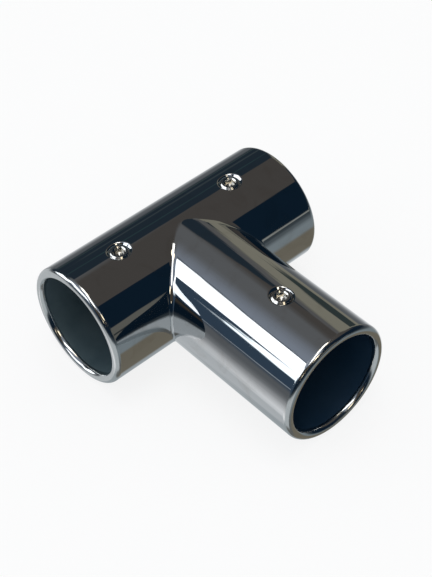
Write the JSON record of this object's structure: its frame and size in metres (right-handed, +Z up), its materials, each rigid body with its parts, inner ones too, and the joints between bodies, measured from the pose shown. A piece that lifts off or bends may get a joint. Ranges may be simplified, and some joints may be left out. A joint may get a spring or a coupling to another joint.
{
  "type": "tube connector",
  "caption": "Polished cast tee that joins hand-rail tubes at right angles, each held in its socket by a set screw.",
  "frame": {"origin": "on the surface that the tee lies on, below the middle of the box around it", "axes": "+X along the run towards the right-hand socket, -Y out of the branch's mouth, +Z up and along the set screws"},
  "size_m": [0.0636, 0.069, 0.0308],
  "materials": {
    "polished_cast_steel": "mirror-polished cast stainless steel",
    "screw_steel": "machined stainless steel"
  },
  "bodies": {
    "tee": {"tee_body": "polished_cast_steel"},
    "left_screw": {"run_set_screw_left": "screw_steel"},
    "right_screw": {"run_set_screw_right": "screw_steel"},
    "branch_screw": {"branch_set_screw": "screw_steel"}
  },
  "joints": [
    {"name": "left_screw_travel", "type": "slide", "parent": "tee", "child": "left_screw", "axis": [0, 0, 1], "range_m": [-0.0016, 0.0016]},
    {"name": "right_screw_travel", "type": "slide", "parent": "tee", "child": "right_screw", "axis": [0, 0, 1], "range_m": [-0.0016, 0.0016]},
    {"name": "branch_screw_travel", "type": "slide", "parent": "tee", "child": "branch_screw", "axis": [0, 0, 1], "range_m": [-0.0016, 0.0016]}
  ]
}
